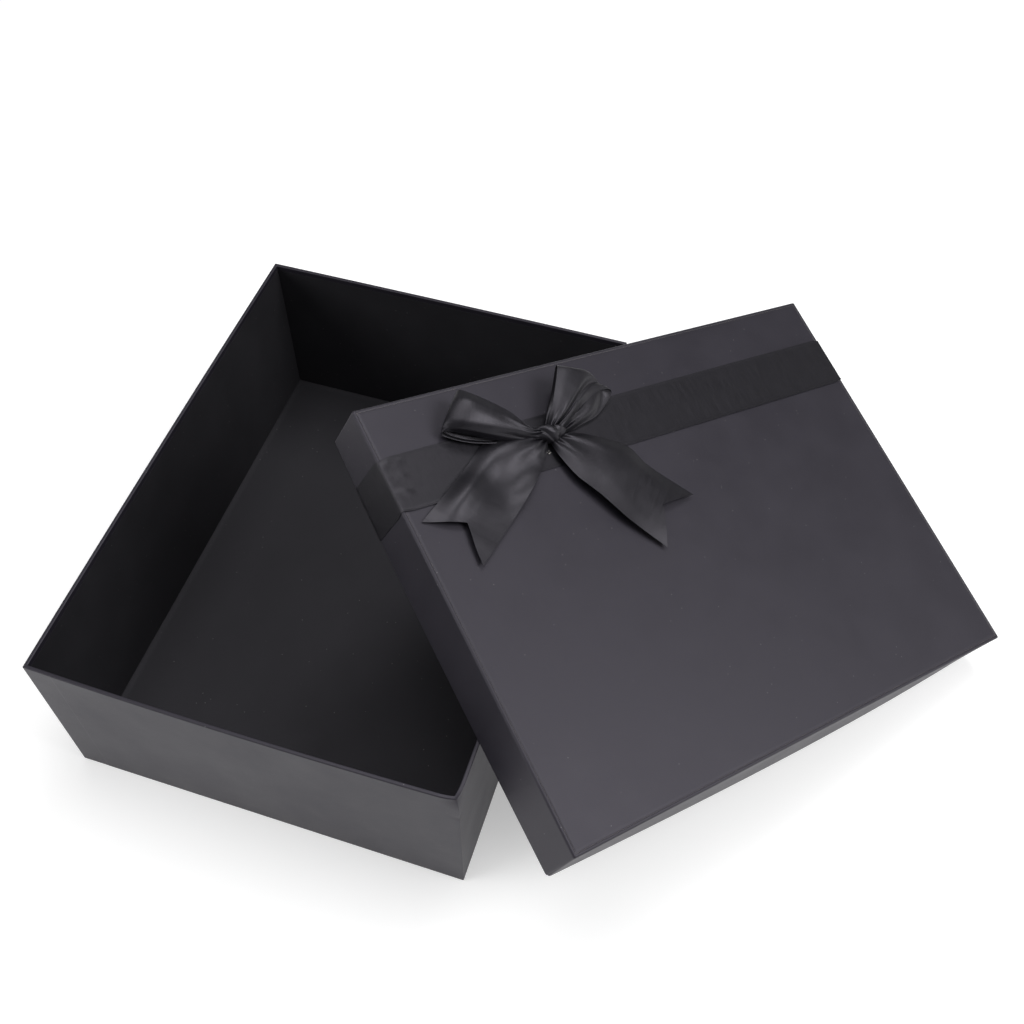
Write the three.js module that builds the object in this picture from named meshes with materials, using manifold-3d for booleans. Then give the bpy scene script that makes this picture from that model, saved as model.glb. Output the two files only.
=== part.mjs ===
// Rigid two-piece gift box: a deep open base and a lift-off lid that leans on the base's right wall.
// Both are greyboard panels with paper stays at the corners, wrapped and lined in black paper.
// A satin ribbon runs across the lid, and a bow tied from the same ribbon sits on it.
//
// Millimetres, +Z up. The origin is the centre of the base's underside; the base's long sides run along Y.
import * as THREE from "three";
import * as BufferGeometryUtils from "three/addons/utils/BufferGeometryUtils.js";
import Module from "manifold-3d";

const wasm = await Module();
wasm.setup();

// Driving dimensions
const BASE_WIDTH = 290;
const BASE_LENGTH = 390;
const BASE_HEIGHT = 133.5;
const LID_OVERSIZE = 8; // how much wider and longer the lid is outside than the base
const LID_DEPTH = 36.5;
const BOARD = 2.0; // greyboard thickness
const PAPER = 0.15; // wrapping and lining paper
const STAY_TAPE = 0.12; // gummed paper stay at each corner
const GLUE_GAP = 0.06; // clear space left between glued layers
const STAY_LEG = 20; // how far a stay reaches round each side of its corner
const TURN_IN = 18; // wrapping paper turned over the base's rim and down inside
const TURN_UNDER = 15; // wrapping paper turned in beneath the base
const LID_TURN_IN = 30; // wrapping paper turned up inside the lid's walls
const LINING_DROP = 4; // how far below the rim the base's side lining stops
const LINER_MARGIN = 1; // clear space round a loose liner sheet

// The lid leans with its rim on the base's right wall and one corner on the floor.
const LID_TILT = THREE.MathUtils.degToRad(23.95);
const LID_TURN = THREE.MathUtils.degToRad(48.4);
const LID_CENTRE_Y = 38.5;
const CONTACT_GAP = 0.3; // clear space where the lid touches the base and the floor

// Ribbon and bow
const RIBBON_WIDTH = 38;
const RIBBON = 0.4; // doubled satin with its glue
const RIBBON_FROM_BACK = 54.7; // ribbon's centre line, from the lid's back edge
const RIBBON_TUCK = 20; // ribbon turned up inside the lid's end walls
const KNOT_X = -81.5; // knot's centre on the lid, from the lid's centre
const KNOT_Y = 94;
const KNOT_SIZE = new THREE.Vector3(22, 19, 11);
const KNOT_HEADING = -25;
const KNOT_FACETS = 16;
const BOW_GAP = 0.4; // clear space between the bow's pieces and what they lie on
const LOOP_PINCH = 0.35; // a loop's width at the knot, as a share of the ribbon's
const LOOP_FACETS = 8; // facets along each curve of a loop's section
const TAIL_PINCH = 10; // a tail's width at the knot
const TAIL_THICKNESS = 3; // room for a tail's waves
const TAIL_NOTCH = 17; // depth of the swallow-tail cut
const TAIL_SPREAD = 0.45; // where a tail reaches the ribbon's full width, as a share of its length
const TAIL_EASE = 0.2; // how far the curve out from the knot is drawn along the tail, as a share of it
const GLUE_DOT_X = -0.5; // from the knot's centre
const GLUE_DOT_Y = -10;
const GLUE_DOT_RADIUS = 1.5;
const GLUE_DOT_HEIGHT = 1.2;
const GLUE_DOT_FACETS = 12;

// A loop's teardrop section, as shares of its length and height. It starts at the knot, and each row is a
// curve's two handles and its end.
const LOOP_SECTION = [
  [0.45, 0, 0.75, 0, 0.9, 0],
  [1.03, 0.1, 1.03, 0.9, 0.85, 1],
  [0.6, 1, 0.3, 0.6, 0, 0.3],
];

// Each bow piece starts beside or under the knot and points along its heading, in degrees from the lid's +X.
const LOOPS = [
  { name: "bow_left_loop", x: -11.6, y: 5.9, heading: 153, length: 52, height: 15 },
  { name: "bow_right_loop", x: 10.8, y: 7.6, heading: 33, length: 48, height: 22 },
];
const TAILS = [
  { name: "bow_left_tail", x: -5, y: -3, heading: 205, length: 105 },
  { name: "bow_right_tail", x: 5.5, y: -4, heading: 308, length: 101 },
];

// The section of a wall from its outer face to its inner face
const SKIN = PAPER + GLUE_GAP + STAY_TAPE + GLUE_GAP;
const WALL = SKIN + BOARD + GLUE_GAP + PAPER;

const LID_WIDTH = BASE_WIDTH + LID_OVERSIZE;
const LID_LENGTH = BASE_LENGTH + LID_OVERSIZE;

// Materials
const paperBlack = new THREE.MeshStandardMaterial({ color: 0x3a393c, roughness: 0.8, metalness: 0 });
const liningBlack = new THREE.MeshStandardMaterial({ color: 0x242426, roughness: 0.85, metalness: 0 });
const greyboard = new THREE.MeshStandardMaterial({ color: 0x8a857c, roughness: 0.95, metalness: 0 });
const kraftTape = new THREE.MeshStandardMaterial({ color: 0xa98a5f, roughness: 0.9, metalness: 0 });
const satin = new THREE.MeshStandardMaterial({ color: 0x1c1b1f, roughness: 0.45, metalness: 0 });
const glue = new THREE.MeshStandardMaterial({ color: 0xd9d6cc, roughness: 0.3, metalness: 0 });

function rectangle(width, length) {
  const shape = new THREE.Shape();
  shape.moveTo(-width / 2, -length / 2);
  shape.lineTo(width / 2, -length / 2);
  shape.lineTo(width / 2, length / 2);
  shape.lineTo(-width / 2, length / 2);
  shape.closePath();
  return shape;
}

function extrude(shape, bottom, top) {
  const geometry = new THREE.ExtrudeGeometry(shape, { depth: top - bottom, bevelEnabled: false });
  geometry.translate(0, 0, bottom);
  return geometry;
}

// A rectangular ring, as wide as `inset` all round, between two heights
function band(width, length, inset, bottom, top) {
  const shape = rectangle(width, length);
  shape.holes.push(rectangle(width - 2 * inset, length - 2 * inset));
  return extrude(shape, bottom, top);
}

// A flat rectangular sheet or panel between two corners
function slab(low, high) {
  const geometry = new THREE.BoxGeometry(high[0] - low[0], high[1] - low[1], high[2] - low[2]);
  geometry.translate((low[0] + high[0]) / 2, (low[1] + high[1]) / 2, (low[2] + high[2]) / 2);
  return geometry;
}

function solidOf(geometry) {
  const bare = geometry.clone();
  bare.deleteAttribute("normal");
  bare.deleteAttribute("uv");
  const merged = BufferGeometryUtils.mergeVertices(bare, 1e-4);
  return new wasm.Manifold(
    new wasm.Mesh({
      numProp: 3,
      vertProperties: new Float32Array(merged.attributes.position.array),
      triVerts: new Uint32Array(merged.index.array),
    })
  );
}

function geometryOf(solid) {
  const mesh = solid.getMesh();
  const geometry = new THREE.BufferGeometry();
  geometry.setAttribute("position", new THREE.BufferAttribute(mesh.vertProperties, 3));
  geometry.setIndex(new THREE.BufferAttribute(mesh.triVerts, 1));
  geometry.computeVertexNormals();
  return geometry;
}

function joined(geometries) {
  const solids = geometries.map(solidOf);
  const whole = solids.slice(1).reduce((sum, next) => sum.add(next), solids[0]);
  return geometryOf(whole);
}

function piece(name, geometry, material) {
  const mesh = new THREE.Mesh(geometry, material);
  mesh.name = name;
  return mesh;
}

// Four wall panels round a tray: the side walls run the full length, and the end walls fit between them.
function wallPanels(prefix, width, length, bottom, top) {
  const outerX = width / 2 - SKIN;
  const outerY = length / 2 - SKIN;
  const innerX = outerX - BOARD;
  const endX = innerX - GLUE_GAP;
  const innerY = outerY - BOARD;
  return [
    piece(`${prefix}_left_board`, slab([-outerX, -outerY, bottom], [-innerX, outerY, top]), greyboard),
    piece(`${prefix}_right_board`, slab([innerX, -outerY, bottom], [outerX, outerY, top]), greyboard),
    piece(`${prefix}_front_board`, slab([-endX, -outerY, bottom], [endX, -innerY, top]), greyboard),
    piece(`${prefix}_back_board`, slab([-endX, innerY, bottom], [endX, outerY, top]), greyboard),
  ];
}

// The panel that closes a tray fits between its four walls.
function closingPanel(name, width, length, bottom) {
  const x = width / 2 - SKIN - BOARD - GLUE_GAP;
  const y = length / 2 - SKIN - BOARD - GLUE_GAP;
  return piece(name, slab([-x, -y, bottom], [x, y, bottom + BOARD]), greyboard);
}

// An angle of gummed tape on the outside of each corner of the boards
function cornerStays(prefix, width, length, bottom, top) {
  const corners = { front_left: [-1, -1], front_right: [1, -1], back_left: [-1, 1], back_right: [1, 1] };
  const outerX = width / 2 - PAPER - GLUE_GAP;
  const outerY = length / 2 - PAPER - GLUE_GAP;
  return Object.entries(corners).map(([place, [signX, signY]]) => {
    const angle = new THREE.Shape();
    angle.moveTo(signX * outerX, signY * outerY);
    angle.lineTo(signX * (outerX - STAY_LEG), signY * outerY);
    angle.lineTo(signX * (outerX - STAY_LEG), signY * (outerY - STAY_TAPE));
    angle.lineTo(signX * (outerX - STAY_TAPE), signY * (outerY - STAY_TAPE));
    angle.lineTo(signX * (outerX - STAY_TAPE), signY * (outerY - STAY_LEG));
    angle.lineTo(signX * outerX, signY * (outerY - STAY_LEG));
    angle.closePath();
    return piece(`${prefix}_stay_${place}`, extrude(angle, bottom, top), kraftTape);
  });
}

function makeBase() {
  const base = new THREE.Group();
  const wrapBottom = PAPER + GLUE_GAP;
  const boardBottom = wrapBottom + PAPER + GLUE_GAP;
  const boardTop = BASE_HEIGHT - PAPER - GLUE_GAP;
  const floorTop = boardBottom + BOARD;

  base.add(closingPanel("base_bottom_board", BASE_WIDTH, BASE_LENGTH, boardBottom));
  base.add(...wallPanels("base", BASE_WIDTH, BASE_LENGTH, boardBottom, boardTop));
  base.add(...cornerStays("base", BASE_WIDTH, BASE_LENGTH, boardBottom, boardTop));

  // One strip of paper: turned in beneath, up the outside, over the rim and down inside
  const innerWidth = BASE_WIDTH - 2 * (WALL - PAPER);
  const innerLength = BASE_LENGTH - 2 * (WALL - PAPER);
  const wrap = joined([
    band(BASE_WIDTH, BASE_LENGTH, PAPER, wrapBottom, BASE_HEIGHT),
    band(BASE_WIDTH, BASE_LENGTH, TURN_UNDER, wrapBottom, wrapBottom + PAPER),
    band(BASE_WIDTH, BASE_LENGTH, WALL, BASE_HEIGHT - PAPER, BASE_HEIGHT),
    band(innerWidth, innerLength, PAPER, BASE_HEIGHT - TURN_IN, BASE_HEIGHT),
  ]);
  base.add(piece("base_side_wrap", wrap, paperBlack));

  const sheetX = BASE_WIDTH / 2 - LINER_MARGIN;
  const sheetY = BASE_LENGTH / 2 - LINER_MARGIN;
  base.add(piece("base_bottom_sheet", slab([-sheetX, -sheetY, 0], [sheetX, sheetY, PAPER]), paperBlack));

  const linerX = BASE_WIDTH / 2 - WALL - LINER_MARGIN;
  const linerY = BASE_LENGTH / 2 - WALL - LINER_MARGIN;
  const linerBottom = floorTop + GLUE_GAP;
  const linerTop = linerBottom + PAPER;
  const liner = slab([-linerX, -linerY, linerBottom], [linerX, linerY, linerTop]);
  base.add(piece("base_floor_liner", liner, liningBlack));

  const liningWidth = BASE_WIDTH - 2 * (WALL + GLUE_GAP);
  const liningLength = BASE_LENGTH - 2 * (WALL + GLUE_GAP);
  const liningTop = BASE_HEIGHT - LINING_DROP;
  const lining = band(liningWidth, liningLength, PAPER, linerTop + GLUE_GAP, liningTop);
  base.add(piece("base_side_lining", lining, liningBlack));
  return base;
}

// The ribbon's section along the lid: over the top, down both end walls and up inside them
function ribbonBand() {
  const inner = LID_LENGTH / 2 + GLUE_GAP;
  const outer = inner + RIBBON;
  const top = LID_DEPTH + GLUE_GAP;
  const tuckOuter = LID_LENGTH / 2 - WALL - GLUE_GAP;
  const tuckInner = tuckOuter - RIBBON;
  const shape = new THREE.Shape();
  shape.moveTo(-tuckInner, RIBBON_TUCK);
  shape.lineTo(-tuckOuter, RIBBON_TUCK);
  shape.lineTo(-tuckOuter, -GLUE_GAP);
  shape.lineTo(-inner, -GLUE_GAP);
  shape.lineTo(-inner, top);
  shape.lineTo(inner, top);
  shape.lineTo(inner, -GLUE_GAP);
  shape.lineTo(tuckOuter, -GLUE_GAP);
  shape.lineTo(tuckOuter, RIBBON_TUCK);
  shape.lineTo(tuckInner, RIBBON_TUCK);
  shape.lineTo(tuckInner, -GLUE_GAP - RIBBON);
  shape.lineTo(outer, -GLUE_GAP - RIBBON);
  shape.lineTo(outer, top + RIBBON);
  shape.lineTo(-outer, top + RIBBON);
  shape.lineTo(-outer, -GLUE_GAP - RIBBON);
  shape.lineTo(-tuckInner, -GLUE_GAP - RIBBON);
  shape.closePath();
  const geometry = extrude(shape, -RIBBON_WIDTH / 2, RIBBON_WIDTH / 2);
  geometry.rotateX(Math.PI / 2);
  geometry.translate(0, LID_WIDTH / 2 - RIBBON_FROM_BACK, 0);
  return geometry;
}

// A ribbon loop as a solid: a teardrop section along +X, drawn in towards the knot at X = 0
function loopSolid(length, height, width) {
  const teardrop = new THREE.Shape();
  teardrop.moveTo(0, 0);
  for (const [x1, y1, x2, y2, x, y] of LOOP_SECTION) {
    teardrop.bezierCurveTo(length * x1, height * y1, length * x2, height * y2, length * x, height * y);
  }
  teardrop.closePath();
  const options = { depth: width, bevelEnabled: false, curveSegments: LOOP_FACETS };
  const geometry = new THREE.ExtrudeGeometry(teardrop, options);
  geometry.translate(0, 0, -width / 2);
  geometry.rotateX(Math.PI / 2);
  const position = geometry.attributes.position;
  for (let i = 0; i < position.count; i += 1) {
    const share = Math.min(position.getX(i) / length, 1);
    position.setY(i, position.getY(i) * (LOOP_PINCH + (1 - LOOP_PINCH) * share));
  }
  geometry.computeVertexNormals();
  return geometry;
}

// A flat tail along +X from the knot, spreading to the ribbon's width and ending in a swallow-tail cut
function tailSolid(length) {
  const half = RIBBON_WIDTH / 2;
  const shape = new THREE.Shape();
  shape.moveTo(0, -TAIL_PINCH / 2);
  shape.quadraticCurveTo(length * TAIL_EASE, -half, length * TAIL_SPREAD, -half);
  shape.lineTo(length, -half);
  shape.lineTo(length - TAIL_NOTCH, 0);
  shape.lineTo(length, half);
  shape.lineTo(length * TAIL_SPREAD, half);
  shape.quadraticCurveTo(length * TAIL_EASE, half, 0, TAIL_PINCH / 2);
  shape.closePath();
  return extrude(shape, 0, TAIL_THICKNESS);
}

// Turns a bow piece to its heading on the lid and sets it at its height
function setOnLid(mesh, x, y, z, heading) {
  mesh.position.set(x, y, z);
  mesh.rotation.z = THREE.MathUtils.degToRad(heading);
  return mesh;
}

function makeBow(ribbonTop) {
  const bow = new THREE.Group();
  const tailLevel = ribbonTop + BOW_GAP;
  const loopLevel = tailLevel + TAIL_THICKNESS + BOW_GAP;
  bow.position.set(KNOT_X, KNOT_Y, 0);

  // A sphere 1 mm across, stretched to the knot's size
  const knot = new THREE.SphereGeometry(0.5, KNOT_FACETS, KNOT_FACETS / 2);
  knot.scale(KNOT_SIZE.x, KNOT_SIZE.y, KNOT_SIZE.z);
  bow.add(setOnLid(piece("bow_knot", knot, satin), 0, 0, loopLevel + KNOT_SIZE.z / 2, KNOT_HEADING));

  for (const loop of LOOPS) {
    const mesh = piece(loop.name, loopSolid(loop.length, loop.height, RIBBON_WIDTH), satin);
    bow.add(setOnLid(mesh, loop.x, loop.y, loopLevel, loop.heading));
  }
  for (const tail of TAILS) {
    const mesh = piece(tail.name, tailSolid(tail.length), satin);
    bow.add(setOnLid(mesh, tail.x, tail.y, tailLevel, tail.heading));
  }

  const dot = new THREE.CylinderGeometry(GLUE_DOT_RADIUS, GLUE_DOT_RADIUS, GLUE_DOT_HEIGHT, GLUE_DOT_FACETS);
  dot.rotateX(Math.PI / 2);
  const dotLevel = ribbonTop + GLUE_GAP + GLUE_DOT_HEIGHT / 2;
  bow.add(setOnLid(piece("bow_glue_dot", dot, glue), GLUE_DOT_X, GLUE_DOT_Y, dotLevel, 0));
  return bow;
}

// The lid in its own place: the origin is the centre of its rim and +Z is out through its top.
function makeLid() {
  const lid = new THREE.Group();
  const boardBottom = PAPER + GLUE_GAP;
  const boardTop = LID_DEPTH - PAPER - GLUE_GAP;

  lid.add(closingPanel("lid_top_board", LID_LENGTH, LID_WIDTH, boardTop - BOARD));
  lid.add(...wallPanels("lid", LID_LENGTH, LID_WIDTH, boardBottom, boardTop));
  lid.add(...cornerStays("lid", LID_LENGTH, LID_WIDTH, boardBottom, boardTop));

  // One cross-shaped sheet: over the top, down the walls, round the rim and up inside
  const halfX = LID_LENGTH / 2;
  const halfY = LID_WIDTH / 2;
  const innerLength = LID_LENGTH - 2 * (WALL - PAPER);
  const innerWidth = LID_WIDTH - 2 * (WALL - PAPER);
  const wrap = joined([
    slab([-halfX, -halfY, LID_DEPTH - PAPER], [halfX, halfY, LID_DEPTH]),
    band(LID_LENGTH, LID_WIDTH, PAPER, 0, LID_DEPTH),
    band(LID_LENGTH, LID_WIDTH, WALL, 0, PAPER),
    band(innerLength, innerWidth, PAPER, 0, LID_TURN_IN),
  ]);
  lid.add(piece("lid_wrap", wrap, paperBlack));

  const linerX = halfX - WALL - LINER_MARGIN;
  const linerY = halfY - WALL - LINER_MARGIN;
  const linerTop = boardTop - BOARD - GLUE_GAP;
  const liner = slab([-linerX, -linerY, linerTop - PAPER], [linerX, linerY, linerTop]);
  lid.add(piece("lid_top_liner", liner, liningBlack));

  lid.add(piece("ribbon_band", ribbonBand(), satin));
  lid.add(makeBow(LID_DEPTH + GLUE_GAP + RIBBON));
  return lid;
}

// Leans the lid: turned about its own upright, then tilted about the base's right wall.
function leanLid(lid) {
  const turned = new THREE.Group();
  turned.rotation.z = LID_TURN;
  turned.add(lid);
  const leaning = new THREE.Group();
  leaning.rotation.y = LID_TILT;
  leaning.add(turned);

  const lowCorner = (LID_LENGTH / 2) * Math.cos(LID_TURN) + (LID_WIDTH / 2) * Math.sin(LID_TURN);
  const wallToCorner = BASE_HEIGHT / Math.sin(LID_TILT);
  const wallToCentre = wallToCorner - lowCorner;
  leaning.position.set(
    BASE_WIDTH / 2 + wallToCentre * Math.cos(LID_TILT),
    LID_CENTRE_Y,
    BASE_HEIGHT - wallToCentre * Math.sin(LID_TILT) + CONTACT_GAP
  );
  return leaning;
}

const giftBox = new THREE.Group();
giftBox.add(makeBase());
giftBox.add(leanLid(makeLid()));

export default giftBox;
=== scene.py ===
"""Black rigid gift box: a deep open base, and a lift-off lid with a satin ribbon and bow leaning on it.

Works in millimetres on the level base and the level lid, and sets each finished mesh in its place in metres.
"""

import math

import bmesh
import bpy
from bpy.props import FloatProperty, FloatVectorProperty, PointerProperty
from mathutils import Matrix, Vector, noise


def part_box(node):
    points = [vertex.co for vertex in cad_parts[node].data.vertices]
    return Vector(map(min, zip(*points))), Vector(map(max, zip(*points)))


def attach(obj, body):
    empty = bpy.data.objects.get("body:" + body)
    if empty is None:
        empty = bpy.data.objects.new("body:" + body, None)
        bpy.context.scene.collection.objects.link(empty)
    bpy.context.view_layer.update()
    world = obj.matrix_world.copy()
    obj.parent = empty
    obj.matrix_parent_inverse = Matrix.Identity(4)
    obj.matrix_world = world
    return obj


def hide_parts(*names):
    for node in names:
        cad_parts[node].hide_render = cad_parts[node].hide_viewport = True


bl_info = {
    "name": "Rigid Gift Box with Satin Bow",
    "version": (1, 0, 0),
    "blender": (4, 5, 0),
    "location": "View3D > Sidebar > Gift Box",
    "description": "Wraps a greyboard gift box in matt paper and ties a satin ribbon and bow on its lid",
    "category": "Add Mesh",
}

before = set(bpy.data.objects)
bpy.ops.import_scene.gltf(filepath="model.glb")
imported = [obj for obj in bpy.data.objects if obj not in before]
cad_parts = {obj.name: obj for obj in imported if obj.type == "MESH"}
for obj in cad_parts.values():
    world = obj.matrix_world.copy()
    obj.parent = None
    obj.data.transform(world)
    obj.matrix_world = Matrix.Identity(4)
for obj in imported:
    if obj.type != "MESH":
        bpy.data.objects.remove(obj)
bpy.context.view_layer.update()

MM = 0.001
LEVEL = Matrix.Identity(4)


def corners_mm(node):
    """A node's lowest and highest corners at rest, in millimetres."""
    low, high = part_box(node)
    return Vector(low) / MM, Vector(high) / MM


# -------------------- sizes fixed by the frame

BASE_LOW, BASE_HIGH = corners_mm("base_side_wrap")
BASE_X = BASE_HIGH.x  # half the base's width
BASE_Y = BASE_HIGH.y  # half the base's length
BASE_TOP = BASE_HIGH.z
WALL = 2.6  # outer paper, stay, board and turned-in paper together
PAPER = 0.15
TURN_IN = 18.0  # paper turned down inside the base's walls
TURN_UNDER = 15.0  # paper turned in beneath the base

LID_X = 199.0  # half the lid's length, which the ribbon runs along
LID_Y = 149.0
LID_TOP = 36.5
LID_TURN_IN = 30.0  # paper turned up inside the lid's walls
LID_TILT = math.radians(23.95)
LID_TURN = math.radians(48.4)
LID_CENTRE_Y = 38.5
CONTACT_GAP = 0.3

RIBBON_WIDTH = 38.0
RIBBON_Y = LID_Y - 54.7  # the ribbon's centre line
RIBBON_TUCK = 20.0  # ribbon turned up inside the lid's end walls


def lid_place():
    """Takes a point on the level lid to the leaning lid, whose rim rests on the base's right wall."""
    low_corner = LID_X * math.cos(LID_TURN) + LID_Y * math.sin(LID_TURN)
    reach = BASE_TOP / math.sin(LID_TILT) - low_corner
    centre = Vector((
        BASE_X + reach * math.cos(LID_TILT),
        LID_CENTRE_Y,
        BASE_TOP - reach * math.sin(LID_TILT) + CONTACT_GAP,
    ))
    tilt = Matrix.Rotation(LID_TILT, 4, "Y")
    turn = Matrix.Rotation(LID_TURN, 4, "Z")
    return Matrix.Translation(centre) @ tilt @ turn


LID_PLACE = lid_place()


def linear(code):
    """An sRGB hex colour as linear red, green, blue and alpha."""
    parts = [int(code[i:i + 2], 16) / 255 for i in (1, 3, 5)]
    return (*[p / 12.92 if p <= 0.04045 else ((p + 0.055) / 1.055) ** 2.4 for p in parts], 1.0)


# -------------------- what a user may change


def length(name, description, mm):
    return FloatProperty(name=name, description=description, default=mm * MM, min=0.0, unit="LENGTH",
                         precision=5)


def colour(name, description, code):
    return FloatVectorProperty(name=name, description=description, default=linear(code)[:3],
                               subtype="COLOR", size=3, min=0.0, max=1.0)


class GiftBoxSizes(bpy.types.PropertyGroup):
    base_fold: length("Base fold radius", "How round the paper's folds are on the base", 0.6)
    lid_fold: length("Lid fold radius", "How round the lid's top and corner edges are", 1.3)
    lid_rim_fold: length("Lid rim radius", "How round the paper's folds are at the lid's rim", 0.5)
    bow_left: length("Left wall bow", "How far the base's left wall stands out at its rim", 1.0)
    bow_front: length("Front wall bow", "How far the base's front wall stands out at its rim", 1.9)
    bow_back: length("Back wall bow", "How far the base's back wall stands out at its rim", 0.5)
    seam_inset: length("Seam inset", "From the lid's edge to the seam round its top board", 2.3)
    seam_depth: length("Seam depth", "How far the paper sinks into that seam", 0.22)
    overlap_step: length("Overlap step", "How far the wrap's overlapping end stands proud", 0.09)
    liner_curl: length("Liner curl", "How far the floor liner's edges lift", 0.7)
    ribbon_cloth: length("Ribbon thickness", "Thickness of the bow's satin", 0.22)
    band_cloth: length("Band thickness", "Thickness of the satin glued round the lid", 0.16)
    flutter: length("Flutter", "Height of the small waves in the bow", 0.35)


class GiftBoxColours(bpy.types.PropertyGroup):
    wrap: colour("Wrapping paper", "Matt black wrapping paper", "#1c1a21")
    wrap_worn: colour("Wrapping paper, clouded", "Where the glue shows through", "#201e25")
    # The lining's two colours are the lining paper's own matt black, drawn darker than the wrapping paper's
    # as painted shade for the inside of the base and the lid.
    lining: colour("Lining paper", "Matt black lining paper", "#161618")
    lining_worn_and_shade: colour("Lining paper, clouded", "Where the glue shows through", "#1a1a1c")
    dust: colour("Dust", "Specks of dust and paper fibre", "#7c7a7a")
    board: colour("Greyboard", "Pressed recycled fibre", "#6f6a62")
    board_fleck: colour("Greyboard flecks", "Lighter fibres in the board", "#958f85")
    tape: colour("Kraft tape", "Gummed kraft paper", "#8d6f48")
    tape_fibre: colour("Kraft tape fibres", "Lighter fibres along the tape", "#b8946a")
    satin: colour("Satin", "Black polyester satin between its threads", "#08080a")
    satin_thread: colour("Satin threads", "The satin's raised threads", "#131217")
    glue: colour("Glue", "Set hot-melt glue in its pits", "#8f8d88")
    glue_skin: colour("Glue skin", "Set hot-melt glue on its surface", "#c9c7c0")


def sizes():
    return bpy.context.scene.gift_box_sizes


def tint(name):
    return (*getattr(bpy.context.scene.gift_box_colours, name), 1.0)


# -------------------- materials

GLASSY = 1.5  # the refractive index of coated paper and of polyester
COOL_SHEEN = (0.93, 0.89, 1.0, 1.0)  # black dye leaves a faint violet cast on the paper's and satin's gloss
MIX_SHARE, MIX_A, MIX_B, MIX_RESULT = 0, 6, 7, 2  # sockets of a Mix node set to colours


def add(tree, kind, inputs=None, **settings):
    """Adds one node. An input is a value, or a node and the output of it to link."""
    made = tree.nodes.new("ShaderNode" + kind)
    for name, value in settings.items():
        setattr(made, name, value)
    for name, value in (inputs or {}).items():
        if isinstance(value, tuple) and isinstance(value[0], bpy.types.Node):
            tree.links.new(value[0].outputs[value[1]], made.inputs[name])
        else:
            made.inputs[name].default_value = value
    return made


def new_material(name):
    material = bpy.data.materials.new(name)
    material.use_nodes = True
    material.node_tree.nodes.clear()
    return material, material.node_tree


def grain(mm):
    """The scale of a texture whose grain is this wide, as textures read metres."""
    return 1 / (mm * MM)


def matt_paper(name, body, worn, roughness, fibre):
    """Black coated paper, printed matt and rolled smooth over board: an even soft sheen that brightens at a
    low angle, faint clouds 36 mm wide where the glue dried beneath it, a swell every 17 mm from the board,
    and a pale speck of dust in some 8 mm squares. The fibres are drawn 0.7 mm wide so that they show."""
    material, tree = new_material(name)
    place = add(tree, "TexCoord")
    cloud = add(tree, "TexNoise", {
        "Vector": (place, "Object"), "Scale": grain(35.7), "Detail": 4.0, "Roughness": 0.55})
    cloud_share = add(tree, "MapRange", {
        "Value": (cloud, "Fac"), "From Min": 0.35, "From Max": 0.7, "To Min": 0.0, "To Max": 1.0})
    clouded = add(tree, "Mix", data_type="RGBA", inputs={
        MIX_SHARE: (cloud_share, "Result"), MIX_A: tint(body), MIX_B: tint(worn)})
    dust = add(tree, "TexVoronoi", feature="F1", inputs={
        "Vector": (place, "Object"), "Scale": grain(8.33), "Randomness": 1.0})
    dust_share = add(tree, "MapRange", {
        "Value": (dust, "Distance"), "From Min": 0.03, "From Max": 0.05, "To Min": 0.5, "To Max": 0.0})
    dusty = add(tree, "Mix", data_type="RGBA", inputs={
        MIX_SHARE: (dust_share, "Result"), MIX_A: (clouded, MIX_RESULT), MIX_B: tint("dust")})
    fibres = add(tree, "TexNoise", {
        "Vector": (place, "Object"), "Scale": grain(0.714), "Detail": 3.0, "Roughness": 0.6})
    swell = add(tree, "TexNoise", {
        "Vector": (place, "Object"), "Scale": grain(16.67), "Detail": 2.0, "Roughness": 0.5})
    fibre_bump = add(tree, "Bump", {
        "Height": (fibres, "Fac"), "Strength": fibre, "Distance": 0.2 * MM})
    swell_bump = add(tree, "Bump", {
        "Height": (swell, "Fac"), "Strength": 0.12, "Distance": 1.0 * MM, "Normal": (fibre_bump, "Normal")})
    gloss = add(tree, "MapRange", {
        "Value": (cloud, "Fac"), "From Min": 0.3, "From Max": 0.75,
        "To Min": roughness - 0.03, "To Max": roughness + 0.04})
    shader = add(tree, "BsdfPrincipled", {
        "Base Color": (dusty, MIX_RESULT), "Roughness": (gloss, "Result"),
        "Normal": (swell_bump, "Normal"), "IOR": GLASSY, "Specular Tint": COOL_SHEEN})
    add(tree, "OutputMaterial", {"Surface": (shader, "BSDF")})
    return material


def wrapping_paper():
    return matt_paper("wrapping_paper_matt_black", "wrap", "wrap_worn", 0.5, 0.35)


def lining_paper():
    # Painted shade: the lining paper takes the darker lining colours, which stand in for the shade inside the
    # base and the lid.
    return matt_paper("lining_paper_matt_black_and_painted_shade", "lining", "lining_worn_and_shade", 0.7, 0.45)


def greyboard():
    """Greyboard, pressed from recycled fibre and cut: dull grey-brown, with flecks 1 mm wide."""
    material, tree = new_material("greyboard_pressed_fibre")
    place = add(tree, "TexCoord")
    fleck = add(tree, "TexNoise", {
        "Vector": (place, "Object"), "Scale": grain(1.11), "Detail": 5.0, "Roughness": 0.7})
    share = add(tree, "MapRange", {
        "Value": (fleck, "Fac"), "From Min": 0.35, "From Max": 0.65})
    body = add(tree, "Mix", data_type="RGBA", inputs={
        MIX_SHARE: (share, "Result"), MIX_A: tint("board"), MIX_B: tint("board_fleck")})
    bump = add(tree, "Bump", {
        "Height": (fleck, "Fac"), "Strength": 0.5, "Distance": 0.3 * MM})
    shader = add(tree, "BsdfPrincipled", {
        "Base Color": (body, MIX_RESULT), "Roughness": 0.95, "Normal": (bump, "Normal")})
    add(tree, "OutputMaterial", {"Surface": (shader, "BSDF")})
    return material


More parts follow.
